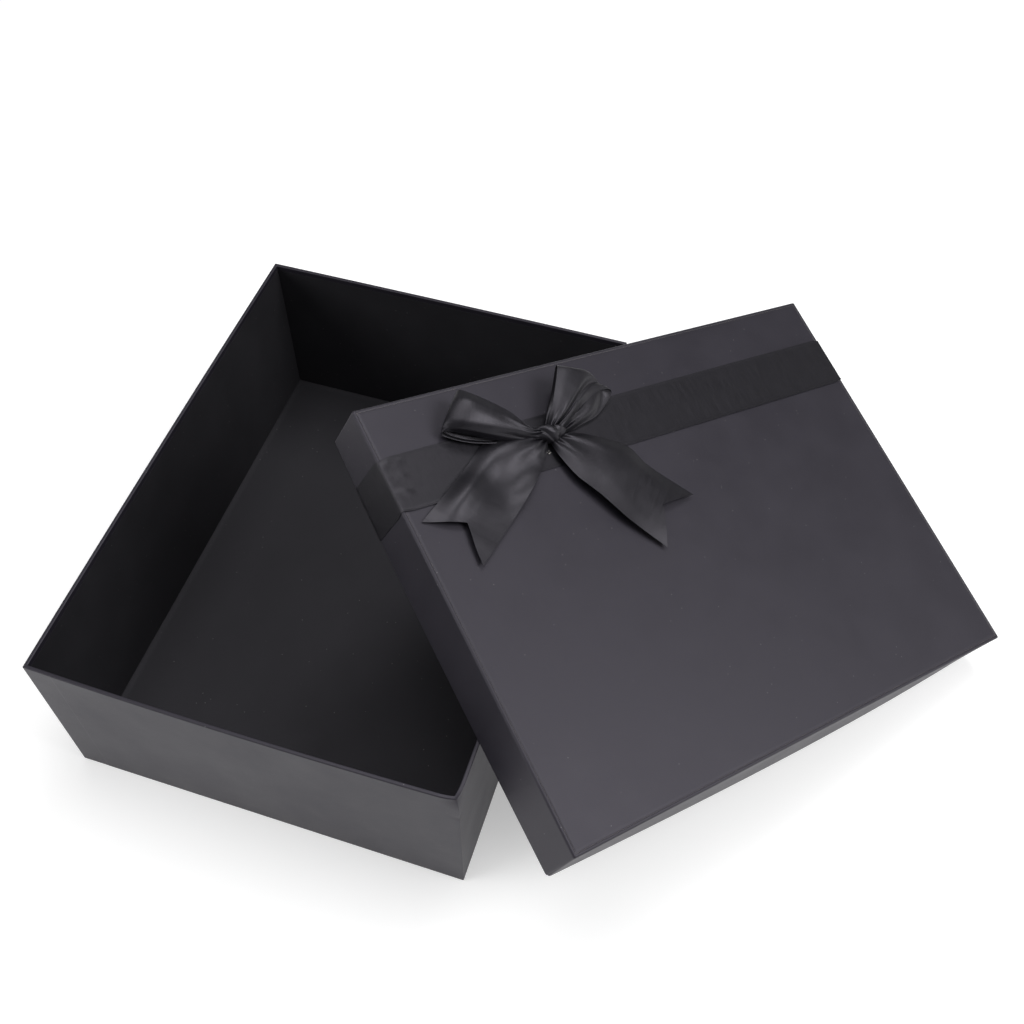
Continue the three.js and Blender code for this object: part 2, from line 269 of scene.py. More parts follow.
def kraft_tape():
    """Gummed kraft tape, machine-glazed: warm brown with long fibres, 1 mm wide, up the strip."""
    material, tree = new_material("kraft_tape_gummed")
    place = add(tree, "TexCoord")
    stretch = add(tree, "Mapping", {
        "Vector": (place, "Object"), "Scale": (1.0, 1.0, 0.15)})
    fibre = add(tree, "TexNoise", {
        "Vector": (stretch, "Vector"), "Scale": grain(0.91), "Detail": 4.0, "Roughness": 0.6})
    body = add(tree, "Mix", data_type="RGBA", inputs={
        MIX_SHARE: (fibre, "Fac"), MIX_A: tint("tape"), MIX_B: tint("tape_fibre")})
    bump = add(tree, "Bump", {
        "Height": (fibre, "Fac"), "Strength": 0.3, "Distance": 0.2 * MM})
    shader = add(tree, "BsdfPrincipled", {
        "Base Color": (body, MIX_RESULT), "Roughness": 0.75, "Normal": (bump, "Normal")})
    add(tree, "OutputMaterial", {"Surface": (shader, "BSDF")})
    return material


RIB_SCALE = 600.0  # a wave texture draws a band every 2 pi / (20 * scale) metres, which is 0.5 mm here


def satin_ribbon():
    """Black polyester satin, woven with long floats: soft broad highlights, deep black in the folds, and
    fine ribs across the ribbon. Its UV map runs in metres along and across the ribbon. Real ribs are about
    0.15 mm apart and real threads finer still; the ribs are drawn 0.5 mm apart and the threads 1.1 mm wide,
    so that they show."""
    material, tree = new_material("satin_polyester_woven")
    place = add(tree, "UVMap", uv_map="ribbon")
    rib = add(tree, "TexWave", wave_type="BANDS", bands_direction="X", inputs={
        "Vector": (place, "UV"), "Scale": RIB_SCALE, "Distortion": 0.6, "Detail": 2.0, "Detail Scale": 0.4})
    drawn_out = add(tree, "Mapping", {"Vector": (place, "UV"), "Scale": (1.0, 0.06, 1.0)})
    thread = add(tree, "TexNoise", {
        "Vector": (drawn_out, "Vector"), "Scale": grain(1.111), "Detail": 3.0, "Roughness": 0.6})
    body = add(tree, "Mix", data_type="RGBA", inputs={
        MIX_SHARE: (thread, "Fac"), MIX_A: tint("satin"), MIX_B: tint("satin_thread")})
    rib_bump = add(tree, "Bump", {
        "Height": (rib, "Fac"), "Strength": 0.2, "Distance": 0.1 * MM})
    thread_bump = add(tree, "Bump", {
        "Height": (thread, "Fac"), "Strength": 0.35, "Distance": 0.2 * MM, "Normal": (rib_bump, "Normal")})
    gloss = add(tree, "MapRange", {
        "Value": (thread, "Fac"), "From Min": 0.3, "From Max": 0.7, "To Min": 0.36, "To Max": 0.45})
    shader = add(tree, "BsdfPrincipled", {
        "Base Color": (body, MIX_RESULT), "Roughness": (gloss, "Result"),
        "Normal": (thread_bump, "Normal"), "IOR": GLASSY, "Specular IOR Level": 0.45,
        "Specular Tint": COOL_SHEEN})
    add(tree, "OutputMaterial", {"Surface": (shader, "BSDF")})
    return material


def set_glue():
    """Hot-melt glue, set where it was dabbed: milky and slightly glossy, with pits 0.7 mm wide."""
    material, tree = new_material("hot_melt_glue_set")
    place = add(tree, "TexCoord")
    pit = add(tree, "TexNoise", {
        "Vector": (place, "Object"), "Scale": grain(0.667), "Detail": 2.0})
    body = add(tree, "Mix", data_type="RGBA", inputs={
        MIX_SHARE: (pit, "Fac"), MIX_A: tint("glue"), MIX_B: tint("glue_skin")})
    bump = add(tree, "Bump", {
        "Height": (pit, "Fac"), "Strength": 0.3, "Distance": 0.3 * MM})
    shader = add(tree, "BsdfPrincipled", {
        "Base Color": (body, MIX_RESULT), "Roughness": 0.35, "Normal": (bump, "Normal"), "IOR": 1.48})
    add(tree, "OutputMaterial", {"Surface": (shader, "BSDF")})
    return material


FINISHES = {
    "wrapping_paper": wrapping_paper,
    "lining_paper": lining_paper,
    "greyboard": greyboard,
    "stay_tape": kraft_tape,
    "satin_ribbon": satin_ribbon,
    "glue": set_glue,
}
made_finishes = {}


def finish(slot):
    if slot not in made_finishes:
        made_finishes[slot] = FINISHES[slot]()
    return made_finishes[slot]


# -------------------- mesh helpers

FACING = 0.9  # a face whose normal's Z is past this faces straight up or down
FOLD = math.radians(40)  # edges that turn more than this are folds to round
SMOOTH_TO = math.radians(38)  # edges of a finished piece that turn more than this stay sharp
ON_IT = 0.01  # a corner this close to a face or a line is on it
CUT_SNAP = 1e-4  # a cut this close to a corner goes through it


def closed_box(bm, low, high):
    """A closed box between two corners, and its top and bottom faces."""
    low, high = Vector(low), Vector(high)
    bmesh.ops.create_cube(bm, size=1.0)
    bmesh.ops.scale(bm, vec=high - low, verts=bm.verts)
    bmesh.ops.translate(bm, vec=(high + low) / 2, verts=bm.verts)
    bm.normal_update()
    top = next(f for f in bm.faces if f.normal.z > FACING)
    bottom = next(f for f in bm.faces if f.normal.z < -FACING)
    return top, bottom


def open_mouth(bm, face, wall, depth):
    """Turns a face in over a wall's thickness and then into the box, and leaves it open there."""
    bmesh.ops.inset_region(bm, faces=[face], thickness=wall, use_even_offset=True)
    inward = -face.normal * depth
    pushed = bmesh.ops.extrude_face_region(bm, geom=[face])["geom"]
    bmesh.ops.delete(bm, geom=[face], context="FACES")
    bmesh.ops.translate(bm, vec=inward, verts=[g for g in pushed if isinstance(g, bmesh.types.BMVert)])
    opening = [g for g in pushed if isinstance(g, bmesh.types.BMFace)]
    bmesh.ops.delete(bm, geom=opening, context="FACES")


def cut_across(bm, axis, positions):
    """Cuts the whole mesh across one axis at each position, so that it can bend there."""
    normal = Matrix.Identity(3)[axis]
    for position in positions:
        bmesh.ops.bisect_plane(
            bm, geom=list(bm.verts) + list(bm.edges) + list(bm.faces), dist=CUT_SNAP,
            plane_co=normal * position, plane_no=normal)


def evenly(reach, step):
    """Even cuts between -reach and reach, about a step apart."""
    count = max(1, round(2 * reach / step))
    return [-reach + 2 * reach * i / count for i in range(1, count)]


def within(reach, near):
    """A pair of cuts at each distance in from both edges, which let a piece follow a curve there."""
    return [side * (reach - n) for n in near for side in (1, -1)]


def smoothstep(value, low, high):
    """Rises smoothly from 0 at low to 1 at high."""
    share = min(max((value - low) / (high - low), 0.0), 1.0)
    return share * share * (3 - 2 * share)


def peak(value, centre, reach):
    """A smooth hump of height 1 at centre, which fades over reach."""
    return math.exp(-((value - centre) / reach) ** 2)


def sharp_edges(bm):
    return [e for e in bm.edges if len(e.link_faces) == 2 and e.calc_face_angle(0) > FOLD]


def round_folds(bm, edges, radius, segments):
    bmesh.ops.bevel(
        bm, geom=edges, offset=radius, offset_type="OFFSET", segments=segments, profile=0.5,
        affect="EDGES", clamp_overlap=True, material=-1)


def bend(bm, field):
    """Moves each corner by what the field gives for its place."""
    for vert in bm.verts:
        vert.co += field(vert.co)


def put(name, data):
    """Adds an object to the scene."""
    made = bpy.data.objects.new(name, data)
    bpy.context.scene.collection.objects.link(made)
    return made


def set_piece(bm, name, body, slot, place=LEVEL, replaces=(), thickness=0.0, offset=-1.0):
    """Sets a mesh in its place in metres, gives a sheet its thickness, and lets it ride on its body."""
    bmesh.ops.transform(bm, matrix=Matrix.Scale(MM, 4) @ place, verts=bm.verts)
    mesh = bpy.data.meshes.new(name)
    bm.to_mesh(mesh)
    bm.free()
    made = put(name, mesh)
    mesh.materials.append(finish(slot))
    if thickness:
        shell = made.modifiers.new("thickness", "SOLIDIFY")
        shell.thickness = thickness
        shell.offset = offset
        shell.use_even_offset = True
        bpy.context.view_layer.update()
        solid = bpy.data.meshes.new_from_object(
            made.evaluated_get(bpy.context.evaluated_depsgraph_get()))
        made.modifiers.clear()
        made.data = solid
        bpy.data.meshes.remove(mesh)
        solid.name = name
        mesh = solid
    mesh.polygons.foreach_set("use_smooth", [True] * len(mesh.polygons))
    mesh.set_sharp_from_angle(angle=SMOOTH_TO)
    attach(made, body)
    if replaces:
        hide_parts(*replaces)
    return made


# -------------------- how the walls bow

STILL = Vector((0, 0, 0))
BASE_BOW_RISE = 1.5  # how the bow grows up a base wall: above 1, mostly near the rim
LID_FLARE_DROP = 1.2  # the same, down a lid wall
LID_FLARE = {  # how far the lid's rim stands out: at the wall's low end, middle and high end
    "left": (2.0, 3.3, 1.0),
    "right": (0.0, 1.2, 0.0),
    "front": (3.0, 6.0, 1.0),
    "back": (0.0, 1.2, 0.0),
}


def base_bow(point):
    """The base's walls belly outwards at mid-span, more towards the rim. The right wall carries the lid
    and stays straight."""
    rise = min(max(point.z / BASE_TOP, 0.0), 1.0) ** BASE_BOW_RISE
    span_x = max(0.0, 1 - (point.x / BASE_X) ** 2)
    span_y = max(0.0, 1 - (point.y / BASE_Y) ** 2)
    out_x = sizes().bow_left / MM if point.x < 0 else 0.0
    out_y = (sizes().bow_front if point.y < 0 else sizes().bow_back) / MM
    return Vector((
        out_x * span_y * rise * point.x / BASE_X,
        out_y * span_x * rise * point.y / BASE_Y,
        0.0,
    ))


def flare(wall, share):
    """How far a lid wall's rim stands out at a place along it, from -1 to 1."""
    low, middle, high = LID_FLARE[wall]
    ends = (low * (1 - share) + high * (1 + share)) / 2
    return middle + (ends - middle) * share * share


def lid_bow(point):
    """The lid's walls splay and belly outwards towards the rim."""
    drop = min(max((LID_TOP - point.z) / LID_TOP, 0.0), 1.0) ** LID_FLARE_DROP
    along_x = min(max(point.x / LID_X, -1.0), 1.0)
    along_y = min(max(point.y / LID_Y, -1.0), 1.0)
    return Vector((
        flare("left" if point.x < 0 else "right", along_y) * drop * point.x / LID_X,
        flare("front" if point.y < 0 else "back", along_x) * drop * point.y / LID_Y,
        0.0,
    ))


# -------------------- folds and knocks

SOFTENED = 1.3  # how far in from a tray's edges its boards and tapes are rounded off by pressing
CRUSH = 3.6  # how hard the base's front right corner was knocked
CRUSH_REACH = 14.0  # how far that knock is felt
CRUSH_WAY = Vector((-0.55, 0.65, -0.55))  # into the box from that corner, and down
DENT = 0.5  # the depth of a small dent below that corner
DENT_WAY = Vector((-0.7, 0.7, 0))  # level, into the box
DENT_BELOW = 25.0  # the dent's place below the rim
DENT_ACROSS, DENT_UP = 4.0, 3.0  # how far it fades, round the edge and along it
CORNER_WEAR = 3.0  # how round the lid's front left corner is worn at its rim
WORN_TO = (4.0, 22.0)  # the wear fades between these heights above the rim


def soften(point, x, y, top):
    """Rounds a tray's outer edges and corners, layer by layer, so that what lies beneath the paper follows
    its folds."""
    depths = Vector((x - abs(point.x), y - abs(point.y), min(top - point.z, point.z)))
    inside = Vector([max(0.0, SOFTENED - depth) for depth in depths])
    if not inside.length:
        return STILL
    pull = inside * (1 - max(inside) / inside.length)
    return -Vector([math.copysign(p, side) for p, side in zip(pull, (point.x, point.y, point.z - top / 2))])


def knock(point):
    """The base's knocked front right corner, and the small dent below it."""
    corner = Vector((BASE_X, -BASE_Y, BASE_TOP))
    near = max(0.0, 1 - (point - corner).length / CRUSH_REACH)
    edge = (point - corner).xy.length
    dent = peak(edge, 0, DENT_ACROSS) * peak(point.z, BASE_TOP - DENT_BELOW, DENT_UP)
    return CRUSH_WAY * CRUSH * near * near + DENT_WAY * DENT * dent


def wear(point):
    """Rounds the lid's front left corner off at its rim."""
    across = Vector((LID_X + point.x, LID_Y + point.y))
    inside = Vector([max(0.0, CORNER_WEAR - depth) for depth in across])
    if min(inside) <= 0:
        return STILL
    pull = inside * (1 - max(inside) / inside.length) * (1 - smoothstep(point.z, *WORN_TO))
    return pull.to_3d()


# -------------------- boards, tapes and flat sheets

CURVE_NEAR = (3.4, 5.5, 8.0, 11.0, 14.0)  # cuts in from an edge, which let a piece follow the knock there
DENT_CUTS = [DENT_BELOW + n for n in (-4, -2, 0, 2, 4)]
EDGE_NEAR = (0.6, SOFTENED)  # cuts in from an edge, which let a board follow the paper's fold
LID_EDGE_NEAR = (*EDGE_NEAR, 3.4, 5.5)
BASE_CUTS = (
    evenly(BASE_X, 29.0) + within(BASE_X, (*EDGE_NEAR, *CURVE_NEAR)),
    evenly(BASE_Y, 30.0) + within(BASE_Y, (*EDGE_NEAR, *CURVE_NEAR)),
    [BASE_TOP * i / 7 for i in range(1, 7)] + [BASE_TOP - n for n in (*EDGE_NEAR, *CURVE_NEAR, *DENT_CUTS)],
)
LID_CUTS = (
    evenly(LID_X, 33.0) + within(LID_X, LID_EDGE_NEAR),
    evenly(LID_Y, 30.0) + within(LID_Y, LID_EDGE_NEAR),
    [LID_TOP * i / 5 for i in range(1, 5)] + [z for n in EDGE_NEAR for z in (n, LID_TOP - n)],
)
SAME_SPOT = 0.005  # corners of loose triangles closer than this are one
SAME_PLANE = math.radians(0.5)  # triangles that turn less than this are one face


def bowed_copy(node, body, slot):
    """A copy of a board, tape or sheet that follows the bow of the walls, and stands for the straight one."""
    if body == "base":
        place, x, y, top, fields, cuts = LEVEL, BASE_X, BASE_Y, BASE_TOP, (knock, base_bow), BASE_CUTS
    else:
        place, x, y, top, fields, cuts = LID_PLACE, LID_X, LID_Y, LID_TOP, (wear, lid_bow), LID_CUTS
    bm = bmesh.new()
    bm.from_mesh(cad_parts[node].data)
    bmesh.ops.transform(bm, matrix=place.inverted() @ Matrix.Scale(1 / MM, 4), verts=bm.verts)
    bmesh.ops.remove_doubles(bm, verts=bm.verts, dist=SAME_SPOT)
    bmesh.ops.dissolve_limit(bm, angle_limit=SAME_PLANE, verts=bm.verts, edges=bm.edges)
    for axis, positions in enumerate(cuts):
        cut_across(bm, axis, positions)
    bend(bm, lambda point: soften(point, x, y, top))
    for field in fields:
        bend(bm, field)
    return set_piece(bm, f"{node}_bowed", body, slot, place, (node,))


def carcass(body, panels):
    """The greyboard panels of one tray and the kraft tape stays at its corners."""
    for panel in panels:
        bowed_copy(f"{body}_{panel}_board", body, "greyboard")
    for corner in ("front_left", "front_right", "back_left", "back_right"):
        bowed_copy(f"{body}_stay_{corner}", body, "stay_tape")


# -------------------- base

OVERLAP_AT = -BASE_X + 20.0  # where the wrap's end laps over its start on the front face
OVERLAP_CUTS = [OVERLAP_AT + n for n in (-1.2, -0.4, -0.1, 0.1, 0.4, 1.2)]
BASE_WRAP_NEAR = (0.9, 1.8, *CURVE_NEAR)
BASE_WRAP_FEET = [BASE_LOW.z + n for n in (0.9, 3.0)]
LINER_SPREAD = 0.8  # how much closer to the walls the floor liner reaches than its plain node
LINER_NEAR = (0.8, 1.6, 2.6, 4.0, 6.0)
LINER_CURLED = 5.0  # how far in from its edges the floor liner has curled
LINER_CURL_SHARE = 0.8  # the share of the curl that is even all round
LINER_WAVE = 0.25  # the height of its long waves, and their share of the curl
LINER_WAVE_REACH = 70.0  # how long those waves are


def overlap(point):
    """The end of the wrap laps over its start on the front face."""
    lapped = point.y < -BASE_Y + ON_IT and point.x > OVERLAP_AT
    return Vector((0, -sizes().overlap_step / MM if lapped else 0, 0))


def make_base_wrap():
    bm = bmesh.new()
    top, bottom = closed_box(bm, BASE_LOW, BASE_HIGH)
    open_mouth(bm, top, WALL, TURN_IN)
    bmesh.ops.inset_region(bm, faces=[bottom], thickness=TURN_UNDER, use_even_offset=True)
    bmesh.ops.delete(bm, geom=[bottom], context="FACES")
    bmesh.ops.recalc_face_normals(bm, faces=bm.faces)
    bm.normal_update()
    round_folds(bm, sharp_edges(bm), sizes().base_fold / MM, 3)
    cut_across(bm, 0, evenly(BASE_X, 14.5) + within(BASE_X, BASE_WRAP_NEAR) + OVERLAP_CUTS)
    cut_across(bm, 1, evenly(BASE_Y, 15.0) + within(BASE_Y, BASE_WRAP_NEAR))
    cut_across(bm, 2, BASE_WRAP_FEET + [BASE_TOP * i / 14 for i in range(1, 13)]
               + [BASE_TOP - n for n in (*BASE_WRAP_NEAR, *DENT_CUTS)])
    for field in (overlap, knock, base_bow):
        bend(bm, field)
    set_piece(bm, "base_wrap_paper", "base", "wrapping_paper", LEVEL, ("base_side_wrap",),
              thickness=PAPER * MM)


def make_floor_liner():
    """The loose sheet on the base's floor, whose edges have curled up a little."""
    high = corners_mm("base_floor_liner")[1] + Vector((LINER_SPREAD, LINER_SPREAD, 0))
    bm = bmesh.new()
    bmesh.ops.create_grid(bm, x_segments=18, y_segments=24, size=1.0)
    bmesh.ops.scale(bm, vec=(high.x, high.y, 1), verts=bm.verts)
    for axis, reach in ((0, high.x), (1, high.y)):
        cut_across(bm, axis, within(reach, LINER_NEAR))
    for vert in bm.verts:
        inward = min(high.x - abs(vert.co.x), high.y - abs(vert.co.y))
        wave = LINER_WAVE * noise.noise(
            Vector((vert.co.x / LINER_WAVE_REACH, vert.co.y / LINER_WAVE_REACH, 2.0)))
        lift = sizes().liner_curl / MM * (1 - smoothstep(inward, 0.0, LINER_CURLED))
        vert.co.z = high.z + lift * (LINER_CURL_SHARE + wave) + max(wave, 0.0)
    set_piece(bm, "base_floor_sheet", "base", "lining_paper", LEVEL, ("base_floor_liner",),
              thickness=PAPER * MM)


# -------------------- lid

LID_WRAP_HEIGHTS = [0.8, 2.0, 8.0, 14.0, 20.0, 26.0, 31.0, 34.5, LID_TOP - 1.3]
SEAM_SIDE = 0.5  # half the width of the seam round the top board


def make_lid_wrap():
    bm = bmesh.new()
    top, bottom = closed_box(bm, (-LID_X, -LID_Y, 0), (LID_X, LID_Y, LID_TOP))
    open_mouth(bm, bottom, WALL, LID_TURN_IN)
    bmesh.ops.recalc_face_normals(bm, faces=bm.faces)
    bm.normal_update()
    upper = [e for e in sharp_edges(bm) if max(v.co.z for v in e.verts) > LID_TOP - 1]
    round_folds(bm, upper, sizes().lid_fold / MM, 4)
    bm.normal_update()
    rim = [e for e in sharp_edges(bm) if max(v.co.z for v in e.verts) < 0.1]
    round_folds(bm, rim, sizes().lid_rim_fold / MM, 3)
    seam = sizes().seam_inset / MM
    near = (seam - SEAM_SIDE, seam, seam + SEAM_SIDE, 4.5, 9.0)
    cut_across(bm, 0, evenly(LID_X, 16.6) + within(LID_X, near))
    cut_across(bm, 1, evenly(LID_Y, 15.0) + within(LID_Y, near))
    cut_across(bm, 2, LID_WRAP_HEIGHTS)
    for vert in bm.verts:
        inward = min(LID_X - abs(vert.co.x), LID_Y - abs(vert.co.y))
        if vert.co.z > LID_TOP - ON_IT and abs(inward - seam) < ON_IT:
            vert.co.z -= sizes().seam_depth / MM
    for field in (wear, lid_bow):
        bend(bm, field)
    set_piece(bm, "lid_wrap_paper", "lid", "wrapping_paper", LID_PLACE, ("lid_wrap",),
              thickness=PAPER * MM)


# -------------------- ribbon round the lid

BAND_LIFT = 0.26  # the band's middle, above the paper
BAND_STEP = 3.0  # between points along the band, away from its turns
BAND_TURN = (0, 0.25, 0.5, 0.75, 1)  # the points round a turn, as shares of it
BAND_FOLD, BAND_RIM_FOLD, BAND_RIM_BEND = 1.2, 0.8, 0.6  # radii over the edge, round the rim and inside it
DRAWN_IN = 2.6  # how much narrower the band is where it is pulled over the lid's edges
DRAWN_IN_REACH = 4.0  # how far from the edge it is back to its width
RIPPLE = 0.12  # the height of the band's faint ripples
PUCKER = 1.3  # the height of the puckers beside the left edge, where the band is pulled hardest
PUCKER_AT, PUCKER_REACH = 8.0, 6.0
LOOSE_EDGE, GLUED_EDGE = 0.45, 0.15  # how far the band's near and far edges stand up off the lid
EDGE_REACH = 1.3
SUNK_LEFT, SUNK_RIGHT = 0.3, 0.12  # how far the band sinks into the seam round the top board
SUNK_REACH = 0.8


def band_line():
    """Points along the band in X and Z, from inside the left wall over the lid to inside the right one,
    close together round each turn."""
    inside = LID_X - WALL - BAND_LIFT
    outside = LID_X + BAND_LIFT
    top = LID_TOP + BAND_LIFT
    left = [(-inside, RIBBON_TUCK, 0.0), (-inside, -BAND_LIFT, BAND_RIM_BEND),
            (-outside, -BAND_LIFT, BAND_RIM_FOLD), (-outside, top, BAND_FOLD)]
    turns = left + [(-x, z, radius) for x, z, radius in reversed(left)]
    points = [Vector(turns[0][:2])]
    for (ax, az, _), (bx, bz, radius), (cx, cz, _) in zip(turns, turns[1:], turns[2:]):
        corner = Vector((bx, bz))
        before = (Vector((ax, az)) - corner).normalized() * radius
        after = (Vector((cx, cz)) - corner).normalized() * radius
        curve = [corner + before * (1 - t) ** 2 + after * t * t for t in BAND_TURN]
        points += steps_to(points[-1], curve[0]) + curve
    return points + steps_to(points[-1], Vector(turns[-1][:2])) + [Vector(turns[-1][:2])]


def steps_to(start, end):
    """Points between two ends, about a step apart."""
    count = max(1, round((end - start).length / BAND_STEP))
    return [start + (end - start) * i / count for i in range(1, count)]


def make_band():
    points = band_line()
    reach = [0.0]
    for before, after in zip(points, points[1:]):
        reach.append(reach[-1] + (after - before).length)
    bm = bmesh.new()
    bmesh.ops.create_grid(bm, x_segments=64, y_segments=len(points) - 1, size=1.0)
    uv = bm.loops.layers.uv.new("ribbon")
    spots = {
        vert: (round((vert.co.y + 1) / 2 * (len(points) - 1)), (vert.co.x + 1) / 2) for vert in bm.verts
    }
    seam = sizes().seam_inset / MM
    for vert, (at, v) in spots.items():
        x, z = points[at]
        inward = LID_X - abs(x)
        drawn_in = DRAWN_IN * peak(max(inward, 0.0) + max(LID_TOP - z, 0.0), 0, DRAWN_IN_REACH)
        y = RIBBON_Y + (RIBBON_WIDTH - drawn_in) * (v - 0.5)
        spot = Vector((x, y, z))
        spot += lid_bow(spot)
        if z > LID_TOP:
            ripple = RIPPLE * noise.noise(Vector((x / 30, y / 9, 4.0)))
            pucker = PUCKER * peak(inward, PUCKER_AT, PUCKER_REACH) * noise.noise(
                Vector((x / 5, y / 7, 9.0))) if x < 0 else 0.0
            across = v * RIBBON_WIDTH
            selvedge = (LOOSE_EDGE * peak(across, 0, EDGE_REACH)
                        + GLUED_EDGE * peak(across, RIBBON_WIDTH, EDGE_REACH))
            sunk = (SUNK_LEFT if x < 0 else SUNK_RIGHT) * peak(inward, seam, SUNK_REACH)
            spot.z += max(ripple, 0.0) + max(pucker, 0.0) + selvedge - sunk
        vert.co = spot
    for face in bm.faces:
        for loop in face.loops:
            at, v = spots[loop.vert]
            loop[uv].uv = (reach[at] * MM, v * RIBBON_WIDTH * MM)
    bmesh.ops.recalc_face_normals(bm, faces=bm.faces)
    piece = set_piece(bm, "ribbon_satin_band", "lid", "satin_ribbon", LID_PLACE, ("ribbon_band",),
                      thickness=sizes().band_cloth, offset=0.0)


# -------------------- bow

# Each length of ribbon is a net of rows along it, from the knot. A row runs across the ribbon, and a point is
# its place on the lid from the lid's centre and its height above the lid's top.
LEFT_TAIL = (
    ((-87, 97, 5), (-86, 95.5, 6.5), (-84.5, 94, 6), (-83, 92.5, 6), (-81, 91, 4)),
    ((-101, 102, 3), (-99, 97.5, 8), (-96, 92, 9.5), (-92, 87, 8.5), (-87, 84.5, 5)),
    ((-122, 105, 1.5), (-117, 97, 7.5), (-112, 89, 9), (-105, 81, 6.5), (-97, 75, 6)),
    ((-141, 94.5, 2), (-136, 86, 5.5), (-130, 77, 4), (-122, 68, 5), (-112, 63.5, 8.5)),
    ((-162, 82, 3), (-157, 73, 8), (-151, 64, 5), (-143, 55, 4.5), (-134, 48.5, 4.5)),
    ((-190.5, 66.5, 1), (-185, 57, 2.5), (-179, 47.5, 4), (-174.5, 38, 3.6), (-167.5, 27.5, 3.5)),
)
RIGHT_TAIL = (
    ((-71, 95, 5.5), (-73, 94.5, 6.5), (-75, 93.5, 6.5), (-77, 92.5, 6), (-79, 91, 4)),
    ((-56, 92.5, 4.5), (-61, 89, 7), (-66, 85, 7), (-71.5, 82, 7.5), (-78, 80, 4.5)),
    ((-40, 84, 5), (-46, 79, 8), (-54, 74, 8), (-63, 69, 8), (-74, 63, 6)),
    ((-24.5, 73, 5), (-32, 66, 8), (-41, 59, 9), (-52, 52.5, 8.5), (-65, 46, 7)),
    ((-16, 56, 4), (-24, 49, 6.5), (-33, 41, 7), (-43, 32.5, 6.5), (-54, 25, 6)),
    ((7, 27, 3), (-3.5, 20, 5), (-14, 13, 6), (-24.5, 6, 5), (-35, -1, 3)),
)
LEFT_LOOP = (
    ((-86, 99, 9.5), (-87, 98, 11), (-87, 96.5, 11), (-87, 95, 9.5), (-87, 94, 7)),
    ((-96, 104, 13), (-97, 101.5, 13.5), (-98, 99, 12), (-99, 97.5, 10), (-98, 96, 6.5)),
    ((-106, 114, 17), (-109, 109.5, 17), (-110, 104.5, 15.5), (-110, 101, 12.5), (-109, 98.5, 6.5)),
    ((-118, 124, 19), (-121.5, 118, 20), (-124, 112, 19), (-126, 106, 15.5), (-124, 104, 8)),
    ((-128, 133, 18.5), (-133, 127, 20.5), (-137, 120, 19.5), (-141, 113, 16), (-139, 111, 9)),
    ((-132, 138, 15.5), (-140, 131, 16), (-146, 124, 14), (-149.5, 119, 11), (-150.5, 116.5, 8)),
    ((-131, 137.5, 11), (-139, 130, 10), (-145, 124, 7.5), (-149.5, 118.5, 5.5), (-151, 115, 4.6)),
    ((-124, 132, 7), (-131, 125, 5), (-136, 118, 4), (-138, 112, 3.6), (-137, 107.5, 3.6)),
    ((-112, 121, 5.5), (-115, 116, 4.5), (-118, 110, 4), (-120, 105, 4), (-121, 101.5, 4.3)),
    ((-98, 106, 5), (-100, 103, 5), (-101, 101, 5), (-102, 99, 5), (-102, 97, 5)),
    ((-86, 98.5, 6.5), (-86, 97.5, 6.5), (-86, 96.5, 6.5), (-86, 95.5, 6), (-86, 94.5, 5.5)),
)
RIGHT_LOOP = (
    ((-80, 100, 10.5), (-78, 99, 12), (-76, 98, 11.5), (-74, 97, 10), (-72, 95, 8)),
    ((-73, 111, 16), (-68.5, 107.5, 18), (-65, 105, 17.5), (-62, 103, 15), (-60, 101, 11)),
    ((-65.5, 122.5, 19), (-58.5, 119, 20.5), (-53, 115.5, 20), (-49.5, 111.5, 17), (-47.5, 107.5, 12)),
    ((-58, 133.5, 20), (-49, 129, 21.5), (-41.5, 124.5, 20.5), (-36, 119.5, 17), (-32, 113.5, 13)),
    ((-55.5, 137, 18), (-45.5, 131, 20), (-35, 127, 18.5), (-27.5, 120.5, 14.5), (-18.5, 114, 10)),
    ((-56, 135.5, 15), (-46, 130, 16), (-36, 124.5, 13), (-27.5, 117.5, 10), (-17, 111, 5.5)),
    ((-63, 124, 11), (-56, 118.5, 10.5), (-49, 112, 8), (-40.5, 107, 8.5), (-32.5, 101.5, 3.5)),
    ((-73, 111, 8.5), (-68, 106.5, 7.5), (-63, 102.5, 7), (-57, 101, 7), (-51, 97.5, 4)),
    ((-80, 99, 7), (-78, 98, 7.5), (-76, 97, 7), (-73, 95, 6), (-71, 93.5, 5)),
)
KNOT = (
    ((-93.5, 101, 2.5), (-91, 102.5, 3), (-84, 103, 3.5), (-78, 103, 3.5), (-73, 101, 3), (-71, 98.5, 2.5)),
    ((-96, 99, 5), (-94, 100, 9.5), (-86.5, 100.8, 12), (-78, 100, 12.5), (-69, 97.5, 11), (-67, 95.5, 6)),
    ((-94, 96.5, 5), (-91.5, 97, 9), (-84.5, 96.5, 12.5), (-77.5, 95.5, 13), (-69.5, 94, 10),
     (-67.5, 92.3, 5)),
    ((-87.5, 93.5, 3.5), (-85.5, 93.5, 7), (-82, 92.5, 9.8), (-76.5, 92, 10.5), (-72, 92.3, 7),
     (-71, 92, 3)),
    ((-83, 92, 1.5), (-81.5, 91.5, 3.5), (-79, 90.5, 5.2), (-76, 89.7, 5.5), (-73.5, 90.7, 3),
     (-72.5, 91.7, 1.5)),
    ((-83, 93.5, 1), (-81, 92.7, 1), (-78.5, 92.7, 1), (-76, 92.7, 1), (-73.5, 93, 1), (-72.5, 93.5, 1)),
)
